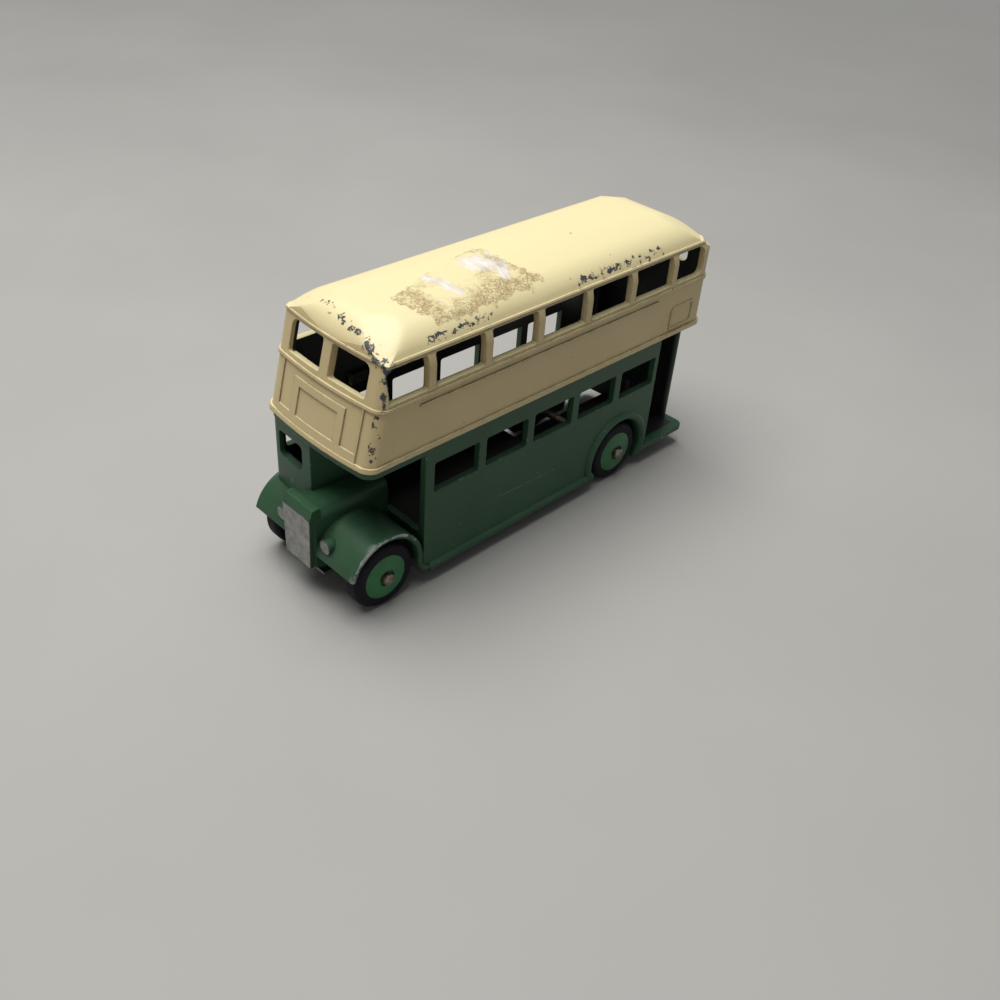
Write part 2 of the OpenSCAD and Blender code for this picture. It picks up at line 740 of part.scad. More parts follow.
// Saloon, cab, canopy and bonnet, hollowed out
module lower_shell() {
    difference() {
        union() {
            translate([0, 0, sill_z]) linear_extrude(lower_h) saloon_plan(0, saloon_front);
            translate([0, 0, wing_z]) linear_extrude(joint_z - wing_z)
                cab_plan(0, saloon_front - wall_t, cab_inner);
            translate([0, 0, canopy_z]) linear_extrude(canopy_t)
                crowned(panel_half, saloon_front - wall_t, canopy_front, bow_r, front_corner_r);
            both_sides() translate([saloon_front - wall_t, bonnet_half, sill_z])
                cube([front_axle_x - wing_mid_r - saloon_front + wall_t,
                    panel_half - deck_step - bonnet_half, wing_z - sill_z]);
            bonnet_form(0, rad_foot_z, saloon_front - wall_t, rad_back + overrun);
            both_sides() headlamp();
        }
        translate([0, 0, sill_z - overrun]) linear_extrude(lower_h + 2 * overrun)
            saloon_plan(wall_t, saloon_front - wall_t);
        translate([0, 0, cab_floor_z]) linear_extrude(canopy_z - cab_floor_z)
            cab_plan(wall_t, saloon_front - wall_t - overrun, cab_inner - wall_t);
        along_x(saloon_front - wall_t - overrun, saloon_front + deck_step)
            translate([cab_inner, bulkhead_z])
                round_rect(panel_half - wall_t - cab_inner, canopy_z - bulkhead_z,
                    [opening_r, opening_r, opening_r, opening_r]);
        translate([-reach, back_edge_y, 0]) cube([reach + saloon_rear, reach, reach]);
        bonnet_form(bonnet_wall, sill_z - overrun, saloon_front - wall_t - overrun, rad_back);
        along_y(-wing_half, wing_half) sweep_corner();
        wheel_room(front_axle_x, wing_z, wing_in_r, bonnet_half);
        wheel_room(rear_axle_x, axle_z, arch_r, bearing_y);
    }
}

module headlamp() {
    translate([front_axle_x + lamp_reach - lamp_barrel, lamp_y, axle_z + lamp_rise]) {
        rotate([0, 90, 0]) cylinder(d = lamp_d, h = lamp_barrel);
        sphere(d = lamp_d);
    }
}

module radiator() {
    intersection() {
        along_x(rad_back, half_l) polygon([[-rad_foot_w / 2, rad_foot_z],
            [rad_foot_w / 2, rad_foot_z], [rad_w / 2, rad_top], [-rad_w / 2, rad_top]]);
        along_y(-rad_w, rad_w) polygon([[rad_back, rad_foot_z], [half_l, rad_foot_z],
            [half_l, rad_top - header_h], [half_l - header_run, rad_top], [rad_back, rad_top]]);
    }
}

// Wing, its rolled edge and the sweep down to the running board, on one side
module wing() {
    along_y(bonnet_half - bonnet_wall / 2, bead_y) translate([front_axle_x, wing_z])
        intersection() {
            difference() {
                circle(wing_out_r);
                circle(wing_in_r);
            }
            polygon([[0, 0], reach * [cos(wing_start), sin(wing_start)], [reach, reach],
                [-reach, reach], [-reach, sweep_z - wing_z], [0, sweep_z - wing_z]]);
        }
    translate([front_axle_x, bead_y, wing_z])
        ring_arc(wing_mid_r, wing_bead_r, wing_start, 180 + sweep_angle);
    translate([sweep_x, bead_y, sweep_z]) ring_arc(sweep_r, wing_bead_r, -90, sweep_angle);
}

// Running board and the rim of the rear arch, on one side
module board() {
    translate([rear_axle_x + rim_reach - board_r, board_y, board_z]) rotate([0, 90, 0])
        cylinder(r = board_r, h = sweep_x - rear_axle_x - rim_reach + board_r + wing_bead_r);
    intersection() {
        translate([rear_axle_x, board_y, axle_z]) rotate([90, 0, 0]) rotate_extrude()
            translate([rim_r, 0]) circle(board_r);
        translate([-reach, 0, board_z]) cube([2 * reach, reach, reach]);
    }
}

// Box over one rear wheel, with the axle bearing as its inner wall
module wheel_box() {
    intersection() {
        difference() {
            along_y(bearing_y - bearing_t, panel_half - wall_t / 2)
                translate([rear_axle_x, axle_z]) circle(arch_r + box_t);
            along_y(bearing_y, panel_half) translate([rear_axle_x, axle_z]) circle(arch_r);
        }
        translate([-reach, 0, base_top + base_gap]) cube([2 * reach, reach, reach]);
    }
}

// Lug that hangs from a front wing to carry the axle
module front_bearing() {
    along_y(bearing_y - bearing_t, bearing_y) translate([front_axle_x, axle_z]) {
        circle(bearing_foot);
        translate([-bearing_foot, 0])
            square([2 * bearing_foot, wing_rise + wing_mid_r]);
    }
}

module platform() {
    platform_l = rear_axle_x - rim_reach + half_l;
    translate([-half_l, platform_y, platform_z - platform_t]) linear_extrude(platform_t)
        round_rect(platform_l, wing_half - platform_y, [win_r, win_r, win_r, platform_r]);
    translate([back_x + wall_t / 2 + back_bow, back_edge_y, platform_z - platform_t])
        cylinder(r = back_roll_r, h = joint_z - platform_z + platform_t);
}

// Posts that the base is riveted to
module base_posts() {
    translate([front_post, 0, base_top])
        cylinder(d = post_d, h = bonnet_top - bonnet_wall / 2 - base_top);
    translate([rear_post, 0, base_top]) cylinder(d = post_d, h = rear_post_h);
    translate([back_x + wall_t / 2, -post_d * web_share / 2, base_top + base_gap])
        cube([rear_post - back_x - wall_t / 2, post_d * web_share, rear_post_h - base_gap]);
}

// Saloon windows, seen from the side
module lower_side_windows() {
    for (i = [1 : lower_bays])
        translate([lower_win_x - i * lower_pitch + lower_pillar_w, lower_sill_z])
            round_rect(lower_win_w, lower_win_h, [win_r, win_r, win_r, win_r]);
}

module lower_windows() {
    cab_radii = [cab_win_r, cab_win_r, cab_win_r, cab_win_r];
    both_sides() along_y(panel_half - 2 * wall_t, panel_half + overrun) lower_side_windows();
    along_x(cab_front - 2 * wall_t, cab_front + overrun)
        translate([cab_mid_y - cab_win_w / 2, cab_sill_z])
            round_rect(cab_win_w, cab_win_h, cab_radii);
    along_y(-panel_half - overrun, -panel_half + 2 * wall_t)
        translate([cab_mid_x - cab_side_win_l / 2, cab_sill_z])
            round_rect(cab_side_win_l, cab_win_h, cab_radii);
    along_x(-half_l - overrun, back_x + 2 * wall_t)
        translate([-back_win_y - back_win_w / 2, lower_sill_z])
            round_rect(back_win_w, lower_win_h, cab_radii);
}

module lower_deck() {
    color([0.04, 0.2, 0.1]) difference() {
        union() {
            lower_shell();
            radiator();
            both_sides() wing();
            both_sides() board();
            both_sides() wheel_box();
            both_sides() front_bearing();
            platform();
            base_posts();
        }
        lower_windows();
        for (x = [front_axle_x, rear_axle_x])
            along_y(-wing_half, wing_half) translate([x, axle_z]) circle(bore_r);
        along_y(-bonnet_half - bonnet_wall, bonnet_half + bonnet_wall)
            translate([front_axle_x, axle_z]) circle(axle_d / 2 + axle_room);
        for (x = [front_post, rear_post])
            translate([x, 0, base_top - overrun])
                cylinder(d = rivet_d, h = rivet_grip + overrun + base_gap);
    }
}

module baseplate() {
    color([0.55, 0.56, 0.55]) difference() {
        translate([0, 0, sill_z]) linear_extrude(base_t) {
            translate([base_rear, -base_waist_w / 2])
                square([base_waist_x - base_rear + base_waist_w, base_waist_w]);
            translate([base_waist_x, -base_half])
                square([base_front - base_waist_x, 2 * base_half]);
            translate([base_front - base_tongue_w, -base_tongue_w / 2])
                square([front_post + post_d / 2 - base_front + base_tongue_w, base_tongue_w]);
        }
        for (x = [front_post, rear_post]) translate([x, 0, sill_z]) {
            translate([0, 0, -overrun])
                cylinder(r = rivet_d / 2 + base_gap, h = base_t + 2 * overrun);
            cylinder(r1 = rivet_head_d / 2 + base_gap + rivet_sink, r2 = rivet_d / 2 + base_gap,
                h = rivet_sink + rivet_head_h);
        }
    }
}

// Rivet from below: a countersunk head in the base and a shank in the post
module base_rivet(x) {
    color([0.62, 0.61, 0.58]) translate([x, 0, sill_z + rivet_sink]) {
        cylinder(r = rivet_d / 2 + rivet_swell, h = base_t + rivet_grip - rivet_sink);
        cylinder(r1 = rivet_head_d / 2, r2 = rivet_d / 2, h = rivet_head_h);
    }
}

module front_base_rivet() {
    base_rivet(front_post);
}

module rear_base_rivet() {
    base_rivet(rear_post);
}

// Axle along Y with a mushroomed head at each end
module axle(x) {
    rod = axle_span - 2 * axle_crown;
    color([0.42, 0.36, 0.3]) translate([x, 0, axle_z]) rotate([90, 0, 0]) {
        cylinder(d = axle_d, h = rod, center = true);
        for (end = [0, 1]) mirror([0, 0, end]) {
            translate([0, 0, rod / 2 - axle_head_t]) cylinder(d = axle_head_d, h = axle_head_t);
            intersection() {
                translate([0, 0, rod / 2 + axle_crown - axle_dome_r]) sphere(axle_dome_r);
                translate([0, 0, rod / 2 - axle_head_t / 2])
                    cylinder(d = axle_head_d, h = axle_head_t + axle_crown);
            }
        }
    }
}

module front_axle() {
    axle(front_axle_x);
}

module rear_axle() {
    axle(rear_axle_x);
}

// Puts a wheel part, drawn from its inner face outward, on one end of an axle
module on_axle(x, side) {
    translate([x, side * wheel_in, axle_z]) rotate([-side * 90, 0, 0]) children();
}

module hub() {
    color([0.1, 0.33, 0.17]) difference() {
        union() {
            translate([0, 0, -hub_boss_h]) cylinder(d = dish_d, h = tyre_w);
            cylinder(r = seat_r, h = tyre_w);
            translate([0, 0, tyre_w - hub_flange_t]) cylinder(d = hub_d, h = hub_flange_t);
            intersection() {
                translate([0, 0, tyre_w + hub_crown - hub_dome_r]) sphere(hub_dome_r);
                translate([0, 0, tyre_w - hub_flange_t])
                    cylinder(d = hub_d, h = hub_flange_t + hub_crown);
            }
        }
        translate([0, 0, -overrun]) cylinder(r = bore_r, h = tyre_w + 2 * overrun);
        translate([0, 0, tyre_w + hub_crown - dish_t]) cylinder(d = dish_d, h = overrun);
    }
}

module tyre() {
    color([0.08, 0.08, 0.1]) rotate_extrude() difference() {
        translate([seat_r - tyre_squeeze, 0])
            round_rect(tyre_d / 2 - seat_r + tyre_squeeze, tyre_w,
                [tyre_lip_r, tyre_r, tyre_r, tyre_lip_r]);
        translate([0, tyre_w - hub_flange_t]) square([hub_d / 2, tyre_w]);
    }
}

module front_left_hub() {
    on_axle(front_axle_x, 1) hub();
}

module front_right_hub() {
    on_axle(front_axle_x, -1) hub();
}

module rear_left_hub() {
    on_axle(rear_axle_x, 1) hub();
}

module rear_right_hub() {
    on_axle(rear_axle_x, -1) hub();
}

module front_left_tyre() {
    on_axle(front_axle_x, 1) tyre();
}

module front_right_tyre() {
    on_axle(front_axle_x, -1) tyre();
}

module rear_left_tyre() {
    on_axle(rear_axle_x, 1) tyre();
}

module rear_right_tyre() {
    on_axle(rear_axle_x, -1) tyre();
}

upper_deck();
lower_deck();
baseplate();
front_base_rivet();
rear_base_rivet();
front_axle();
rear_axle();
front_left_hub();
front_right_hub();
rear_left_hub();
rear_right_hub();
front_left_tyre();
front_right_tyre();
rear_left_tyre();
rear_right_tyre();
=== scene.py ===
import math

import bpy
from mathutils import Matrix, Vector

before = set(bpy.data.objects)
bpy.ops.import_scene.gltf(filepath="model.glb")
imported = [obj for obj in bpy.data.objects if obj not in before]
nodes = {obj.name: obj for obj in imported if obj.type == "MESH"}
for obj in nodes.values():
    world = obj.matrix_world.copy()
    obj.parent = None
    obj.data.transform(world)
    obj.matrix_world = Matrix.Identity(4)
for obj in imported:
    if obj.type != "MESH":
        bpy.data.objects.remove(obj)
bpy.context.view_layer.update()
MM = 0.001


# Material builder; lengths given to it are in millimetres, colours are linear

MIX_SOCKETS = {"FLOAT": (2, 3, 0), "VECTOR": (4, 5, 1), "RGBA": (6, 7, 2)}
NOISE_RANGE = (0.3, 0.7)        # where most of a noise lies
SPOT_CORE = 0.3                 # share of a spot's radius that is fully covered
LINE_CORE = 0.25                # the same for a line
EDGE_COSINES = (0.995, 0.80)    # rounded normal against the face: flat, and on an edge
RAY_SAMPLES = 6
PLAIN_SPECULAR = 0.5


class Paint:
    """One procedural material, whose helpers each return an output socket."""

    def __init__(self, name):
        self.mat = bpy.data.materials.new(name)
        self.mat.use_nodes = True
        self.tree = self.mat.node_tree
        self.tree.nodes.clear()
        out = self.new("ShaderNodeOutputMaterial")
        self.shader = self.new("ShaderNodeBsdfPrincipled")
        self.put(out.inputs[0], self.shader.outputs[0])
        self.place = self.new("ShaderNodeTexCoord").outputs["Object"]
        self.normal = self.new("ShaderNodeNewGeometry").outputs["Normal"]
        self.x, self.y, self.z = self.split(self.place)
        self.nx, _, self.nz = self.split(self.normal)

    def new(self, kind):
        return self.tree.nodes.new(kind)

    def put(self, socket, value):
        if isinstance(value, bpy.types.NodeSocket):
            self.tree.links.new(value, socket)
        else:
            socket.default_value = value

    def split(self, vector):
        n = self.new("ShaderNodeSeparateXYZ")
        self.put(n.inputs[0], vector)
        return n.outputs

    # Sums

    def math(self, kind, a, b=0.0):
        n = self.new("ShaderNodeMath")
        n.operation = kind
        self.put(n.inputs[0], a)
        self.put(n.inputs[1], b)
        return n.outputs[0]

    def add(self, a, b):
        return self.math("ADD", a, b)

    def mul(self, a, b):
        return self.math("MULTIPLY", a, b)

    def sub(self, a, b):
        return self.math("SUBTRACT", a, b)

    def absolute(self, value):
        return self.math("ABSOLUTE", value)

    def both(self, *masks):
        total = masks[0]
        for m in masks[1:]:
            total = self.mul(total, m)
        return total

    def either(self, *masks):
        total = masks[0]
        for m in masks[1:]:
            total = self.math("MAXIMUM", total, m)
        return total

    def vector_node(self, kind, *values):
        n = self.new("ShaderNodeVectorMath")
        n.operation = kind
        for socket, value in zip(n.inputs, values):
            self.put(socket, value)
        return n

    def vector(self, kind, *values):
        """A vector sum that gives a vector."""
        return self.vector_node(kind, *values).outputs["Vector"]

    def measure(self, kind, *values):
        """A vector sum that gives one number, such as a distance."""
        return self.vector_node(kind, *values).outputs["Value"]

    # Ranges

    def span(self, value, low, high, to_low=0.0, to_high=1.0):
        n = self.new("ShaderNodeMapRange")
        self.put(n.inputs["Value"], value)
        self.put(n.inputs["From Min"], low)
        self.put(n.inputs["From Max"], high)
        self.put(n.inputs["To Min"], to_low)
        self.put(n.inputs["To Max"], to_high)
        return n.outputs[0]

    def spread(self, noise, low=0.0, high=1.0):
        """A noise stretched over its usual range."""
        return self.span(noise, *NOISE_RANGE, low, high)

    def ramp(self, length, none, full):
        """Nothing at one length and one at the other."""
        return self.span(length, none * MM, full * MM)

    def within(self, length, low, high, soft):
        return self.mul(
            self.ramp(length, low - soft, low + soft), self.ramp(length, high + soft, high - soft))

    def cut(self, value, at, soft):
        return self.span(value, at - soft, at + soft)

    # Patterns and places

    def noise(self, scale, detail=3.0, rough=0.55, distort=0.0, at=None):
        n = self.new("ShaderNodeTexNoise")
        self.put(n.inputs["Vector"], self.place if at is None else at)
        n.inputs["Scale"].default_value = scale
        n.inputs["Detail"].default_value = detail
        n.inputs["Roughness"].default_value = rough
        n.inputs["Distortion"].default_value = distort
        return n.outputs["Fac"]

    def stretch(self, scale, turn=0.0):
        n = self.new("ShaderNodeMapping")
        self.put(n.inputs["Vector"], self.place)
        n.inputs["Scale"].default_value = scale
        n.inputs["Rotation"].default_value = (0.0, 0.0, turn)
        return n.outputs[0]

    def near(self, spot, radius):
        """One at a spot, falling to nothing at the radius."""
        away = self.measure("DISTANCE", self.place, [v * MM for v in spot])
        return self.ramp(away, radius, radius * SPOT_CORE)

    def along(self, start, end, radius):
        """One along a line between two spots, falling to nothing at the radius."""
        origin = Vector(start) * MM
        line = Vector(end) * MM - origin
        offset = self.vector("SUBTRACT", self.place, origin)
        share = self.span(
            self.measure("DOT_PRODUCT", offset, line / line.length_squared), 0.0, 1.0)
        nearest = self.vector_node("SCALE", line)
        self.put(nearest.inputs["Scale"], share)
        away = self.measure("DISTANCE", offset, nearest.outputs["Vector"])
        return self.ramp(away, radius, radius * LINE_CORE)

    def soft_edges(self, radius):
        """Normal rounded over the edges, and a mask of those edges."""
        n = self.new("ShaderNodeBevel")
        n.samples = RAY_SAMPLES
        n.inputs["Radius"].default_value = radius * MM
        rounded = n.outputs[0]
        return rounded, self.span(self.measure("DOT_PRODUCT", rounded, self.normal), *EDGE_COSINES)

    def shade(self, reach):
        """One in the open and less in corners, within a reach."""
        n = self.new("ShaderNodeAmbientOcclusion")
        n.samples = RAY_SAMPLES
        n.inputs["Distance"].default_value = reach * MM
        return n.outputs["AO"]

    # Mixtures

    def mixture(self, kind, share, a, b):
        n = self.new("ShaderNodeMix")
        n.data_type = kind
        first, second, result = MIX_SOCKETS[kind]
        self.put(n.inputs[0], share)
        self.put(n.inputs[first], a)
        self.put(n.inputs[second], b)
        return n.outputs[result]

    def mix(self, share, a, b):
        """Two colours, each a socket or three numbers."""
        a, b = ((*v, 1.0) if isinstance(v, tuple) else v for v in (a, b))
        return self.mixture("RGBA", share, a, b)

    def blend(self, share, a, b):
        """Two numbers."""
        return self.mixture("FLOAT", share, a, b)

    def turn(self, share, a, b):
        """Two normals."""
        return self.mixture("VECTOR", share, a, b)

    def bump(self, height, depth, normal=None):
        n = self.new("ShaderNodeBump")
        n.inputs["Strength"].default_value = 1.0
        n.inputs["Distance"].default_value = depth * MM
        self.put(n.inputs["Height"], height)
        if normal is not None:
            self.put(n.inputs["Normal"], normal)
        return n.outputs[0]

    def finish(self, color, rough, metal, normal, specular=PLAIN_SPECULAR):
        """The material itself, with the shader's main inputs filled."""
        self.put(self.shader.inputs["Base Color"], color)
        self.put(self.shader.inputs["Roughness"], rough)
        self.put(self.shader.inputs["Metallic"], metal)
        self.put(self.shader.inputs["Normal"], normal)
        self.put(self.shader.inputs["Specular IOR Level"], specular)
        return self.mat


# Both castings. A pair of lengths for a ramp gives where its mask is nothing and where it is
# full, and a pair for within gives the two ends of the mask.

EDGE_ROUND = 0.3        # rounding of the edges
SHADE_REACH = 1.6       # how far painted shade and grime come out of a corner
ENAMEL_DEPTH = 0.10     # depth of the enamel's relief


# Cream enamel of the upper casting

# The side and top creams are one paint: the top is painted lighter and the sides darker, as light
# and shade
CREAM_SHADED_SIDE, CREAM_SHADED_SIDE_AGED = (0.66, 0.525, 0.275), (0.54, 0.43, 0.225)
CREAM_LIT_TOP, CREAM_LIT_TOP_AGED = (0.85, 0.755, 0.435), (0.81, 0.70, 0.375)
CREAM_SPECK = (0.30, 0.24, 0.13)
CREAM_SHADE_GRIME = (0.085, 0.066, 0.042)
CREAM_HALO = (0.42, 0.30, 0.14)
CREAM_RUBBED = (0.215, 0.155, 0.085)
GLUE = (0.56, 0.41, 0.19)
BROWN_DARK, BROWN_LIGHT = (0.20, 0.115, 0.045), (0.40, 0.265, 0.115)
PAPER_DARK, PAPER_LIGHT = (0.58, 0.52, 0.47), (0.90, 0.87, 0.85)
CAST_DARK, CAST_LIGHT = (0.028, 0.034, 0.040), (0.105, 0.120, 0.128)
INSIDE_SHADE_DARK, INSIDE_SHADE_LIGHT = (0.012, 0.012, 0.012), (0.030, 0.029, 0.026)

ROOF_ROUND = 2.8                # rounding of the roof's edges
ROOF_FOOT = (52.6, 53.6)        # heights over which that rounding takes over

PATCH_LENGTH = (3.6, 30.6)      # residue on the roof, measured along its lean
PATCH_LEAN = 0.25
PATCH_NEARSIDE = (11.9, 11.4)
PATCH_OFFSIDE = (-4.4, -3.9)
PATCH_CORNER = (-5.4, -4.9)     # slanting cut at its front offside corner
PATCH_CORNER_SLOPE = 0.243
PATCH_SOFT = 0.3
PATCH_RAGGED_X, PATCH_RAGGED_Y = 1.3, 1.1
STREAK_TURN, FIBRE_TURN = 0.5, 0.4

KNOCK_WEAR, EDGE_WEAR = 0.235, 0.175
CHIP_LEVEL, CHIP_SOFT = 0.735, 0.008
HALO_LEVEL, HALO_SOFT = 0.715, 0.012
SPECK_LEVEL = 0.775

UPPER_WALL = (13.72, 13.62)     # hollow of the casting, from the middle line
UPPER_FRONT = (52.95, 52.85)    # measured at the ground along the front's lean
UPPER_FRONT_LEAN = 0.24
UPPER_REAR = (-48.75, -48.6)
UPPER_MIDDLE = 43.0             # height of the hollow's middle
UPPER_SQUASH = 0.12             # how little length counts in telling in from out
REAR_WALL = (-47.0, -47.5)
REAR_WALL_SIDE = (13.9, 13.8)


def residue(p, top):
    """Masks of dried glue, of the brown lines in it and of torn paper on the roof."""
    ragged = p.spread(p.noise(320.0, 5.0, 0.62), -1.0, 1.0)
    x = p.add(p.x, p.mul(ragged, PATCH_RAGGED_X * MM))
    y = p.add(p.y, p.mul(ragged, PATCH_RAGGED_Y * MM))
    slant = p.add(x, p.mul(y, PATCH_LEAN))
    patch = p.both(
        p.within(slant, *PATCH_LENGTH, PATCH_SOFT),
        p.ramp(y, *PATCH_NEARSIDE),
        p.ramp(p.sub(y, p.mul(x, PATCH_CORNER_SLOPE)), *PATCH_CORNER),
        p.ramp(y, *PATCH_OFFSIDE),
        top)

    # Thin lines, strongest towards the rim of the patch
    ridge = p.absolute(p.sub(p.noise(330.0, 5.0, 0.68, 1.2), 0.5))
    crossing = p.noise(560.0, 5.0, 0.70, 0.8, p.stretch((1.0, 1.7, 1.0), STREAK_TURN))
    crossing = p.absolute(p.sub(crossing, 0.5))
    lines = p.either(p.span(ridge, 0.030, 0.004), p.span(crossing, 0.036, 0.006, 0.0, 0.85))
    rim = p.either(
        p.ramp(slant, 24.0, 27.0),
        p.ramp(slant, 7.2, 5.0),
        p.ramp(y, 7.6, 9.4),
        p.mul(p.ramp(y, -1.6, -3.0), p.ramp(p.x, 20.0, 12.0)))
    where = p.span(p.add(p.noise(130.0, 4.0, 0.6), p.mul(rim, 0.24)), 0.47, 0.66)
    brown = p.both(patch, lines, p.span(where, 0.0, 1.0, 0.10, 1.0))
    streaks = p.noise(420.0, 4.0, 0.6, 0.4, p.stretch((1.0, 0.3, 1.0), STREAK_TURN))
    glue = p.both(patch, where, p.span(streaks, 0.40, 0.62, 0.15, 0.75))

    # Three scraps of paper with torn edges
    tear = p.noise(260.0, 6.0, 0.68, 0.6, p.stretch((1.0, 0.7, 1.0), -STREAK_TURN))
    tear = p.spread(tear, -1.0, 1.0)
    middle = p.add(p.near((8.0, 1.6, 57.0), 6.4), p.mul(tear, 0.42))
    ahead = p.add(p.along((20.6, -1.6, 57.0), (18.6, 6.8, 56.4), 2.6), p.mul(tear, 0.48))
    behind = p.add(p.along((3.8, 0.2, 57.2), (6.8, 7.4, 56.2), 2.6), p.mul(tear, 0.50))
    scraps = p.either(
        p.cut(middle, 0.70, 0.16), p.cut(ahead, 0.72, 0.22), p.cut(behind, 0.74, 0.20))
    return glue, brown, p.both(patch, scraps)


def knocks(p):
    """Mask of the places where the upper casting was knocked."""
    front = p.along((38.9, -5.4, 55.6), (40.3, 8.0, 54.4), 1.7)
    corner = p.along((40.6, 9.2, 54.2), (41.6, 13.4, 52.2), 2.5)
    post = p.along((40.2, 14.2, 51.6), (42.1, 14.3, 44.2), 1.5)
    gutter_front = p.along((30.2, 13.1, 53.3), (15.5, 13.1, 53.3), 1.7)
    gutter_rear = p.along((-7.0, 13.1, 53.3), (-33.0, 13.1, 53.3), 1.9)
    foot = p.along((42.6, 14.0, 42.8), (44.5, 14.0, 34.0), 2.0)
    offside = p.along((40.4, -13.0, 52.6), (37.0, -9.0, 55.2), 1.6)
    gutter_spot = p.near((1.4, 12.9, 53.6), 1.1)
    roof_spot = p.near((-13.0, 8.6, 55.6), 1.0)
    return p.either(
        p.mul(front, 0.80), p.mul(corner, 1.1), p.mul(post, 0.88),
        p.mul(gutter_front, 0.84), p.mul(gutter_rear, 0.86), p.mul(foot, 0.80),
        p.mul(offside, 0.55), p.mul(gutter_spot, 0.8), p.mul(roof_spot, 0.9))


def upper_shaded_inside(p):
    """Mask of the upper casting's inner faces, painted near black as shade."""
    across = p.absolute(p.y)
    hollow = p.both(
        p.ramp(across, *UPPER_WALL),
        p.ramp(p.add(p.x, p.mul(p.z, UPPER_FRONT_LEAN)), *UPPER_FRONT),
        p.ramp(p.x, *UPPER_REAR))
    outward = p.vector(
        "MULTIPLY_ADD", p.place, (UPPER_SQUASH, 1.0, 1.0), (0.0, 0.0, -UPPER_MIDDLE * MM))
    facing_in = p.ramp(p.measure("DOT_PRODUCT", outward, p.normal), 0.3, -0.3)
    rear_wall = p.both(
        p.ramp(p.x, *REAR_WALL), p.span(p.nx, 0.3, 0.6), p.ramp(across, *REAR_WALL_SIDE))
    return p.either(p.mul(hollow, facing_in), rear_wall)


def cream():
    p = Paint("cream_enamel")
    rounded, edge = p.soft_edges(EDGE_ROUND)
    broad, _ = p.soft_edges(ROOF_ROUND)
    rounded = p.turn(p.ramp(p.z, *ROOF_FOOT), rounded, broad)
    open_air = p.shade(SHADE_REACH)
    wide = p.noise(60.0, 4.0)
    fine = p.noise(900.0, 4.0, 0.6)
    grain = p.noise(2600.0, 3.0, 0.6)
    top = p.span(p.nz, 0.25, 0.75)

    # Painted light and shade: faces turned up take the lighter top cream, the others the darker
    # side cream
    color = p.mix(top, CREAM_SHADED_SIDE, CREAM_LIT_TOP)
    aged_and_lit = p.mix(top, CREAM_SHADED_SIDE_AGED, CREAM_LIT_TOP_AGED)
    color = p.mix(p.span(wide, 0.35, 0.75, 0.0, 0.35), color, aged_and_lit)
    color = p.mix(p.span(grain, 0.55, 0.8, 0.0, 0.12), color, CREAM_SPECK)

    # Painted shade, blotched like grime, in the corners of the mouldings and along the window
    # sills
    blotches = p.span(p.noise(260.0, 4.0), 0.3, 0.62, 0.35, 1.0)
    shade_and_grime = p.mul(p.span(open_air, 0.86, 0.45), blotches)
    color = p.mix(p.mul(shade_and_grime, 0.70), color, CREAM_SHADE_GRIME)

    # Torn paper and dried glue on the roof
    glue, brown, paper = residue(p, top)
    color = p.mix(p.mul(glue, 0.75), color, GLUE)
    color = p.mix(p.mul(brown, 0.85), color, p.mix(fine, BROWN_DARK, BROWN_LIGHT))
    fibre = p.noise(700.0, 5.0, 0.65, 0.0, p.stretch((1.0, 0.35, 1.0), FIBRE_TURN))
    fibres = p.mix(p.spread(fibre), PAPER_DARK, PAPER_LIGHT)
    color = p.mix(p.mul(paper, p.span(fibre, 0.25, 0.6, 0.45, 0.95)), color, fibres)

    # Chips through to the grey metal, on edges and at the knocked places
    convex = p.mul(edge, p.span(open_air, 0.45, 0.8))
    bias = p.add(p.mul(convex, EDGE_WEAR), p.mul(knocks(p), KNOCK_WEAR))
    wear = p.add(p.noise(720.0, 6.0, 0.66), bias)
    specks = p.cut(p.noise(760.0, 2.0, 0.5), SPECK_LEVEL, CHIP_SOFT)
    chip = p.either(p.cut(wear, CHIP_LEVEL, CHIP_SOFT), p.mul(specks, 0.9))
    chip = p.mul(chip, p.span(paper, 0.5, 0.0))
    halo = p.sub(p.cut(wear, HALO_LEVEL, HALO_SOFT), chip)
    color = p.mix(p.mul(p.span(halo, 0.0, 1.0), 0.35), color, CREAM_HALO)
    rubbed = p.mul(convex, p.span(p.noise(210.0, 5.0, 0.62), 0.40, 0.68, 0.0, 0.55))
    color = p.mix(rubbed, color, CREAM_RUBBED)
    color = p.mix(chip, color, p.mix(fine, CAST_DARK, CAST_LIGHT))

    # Inner faces painted near black as shade
    color = p.mix(upper_shaded_inside(p), color, p.mix(wide, INSIDE_SHADE_DARK, INSIDE_SHADE_LIGHT))

    rough = p.blend(chip, p.spread(wide, 0.36, 0.50), 0.55)
    rough = p.blend(p.either(paper, p.mul(brown, 0.8), shade_and_grime), rough, 0.85)
    height = p.add(p.mul(grain, 0.05), p.mul(p.noise(170.0, 2.0), 0.35))
    height = p.sub(height, p.mul(chip, 0.9))
    height = p.add(height, p.add(p.mul(paper, 0.8), p.mul(brown, 0.35)))
    return p.finish(color, rough, p.mul(chip, 0.45), p.bump(height, ENAMEL_DEPTH, rounded))


# Dark green enamel of the lower casting

GREEN_DARK, GREEN_LIGHT = (0.022, 0.072, 0.033), (0.035, 0.100, 0.048)
GREEN_SPECK = (0.046, 0.120, 0.062)
GREEN_DUST = (0.13, 0.15, 0.11)
GREEN_SHADE_GRIME = (0.010, 0.013, 0.011)
SILVER_DARK, SILVER_LIGHT = (0.20, 0.20, 0.19), (0.42, 0.42, 0.40)
SILVER_STAIN = (0.15, 0.15, 0.14)
BARE_DARK, BARE_LIGHT = (0.20, 0.21, 0.21), (0.52, 0.53, 0.53)
HOLLOW_SHADE_DARK, HOLLOW_SHADE_LIGHT = (0.008, 0.010, 0.009), (0.022, 0.026, 0.023)
GREEN_SPECULAR = 0.3

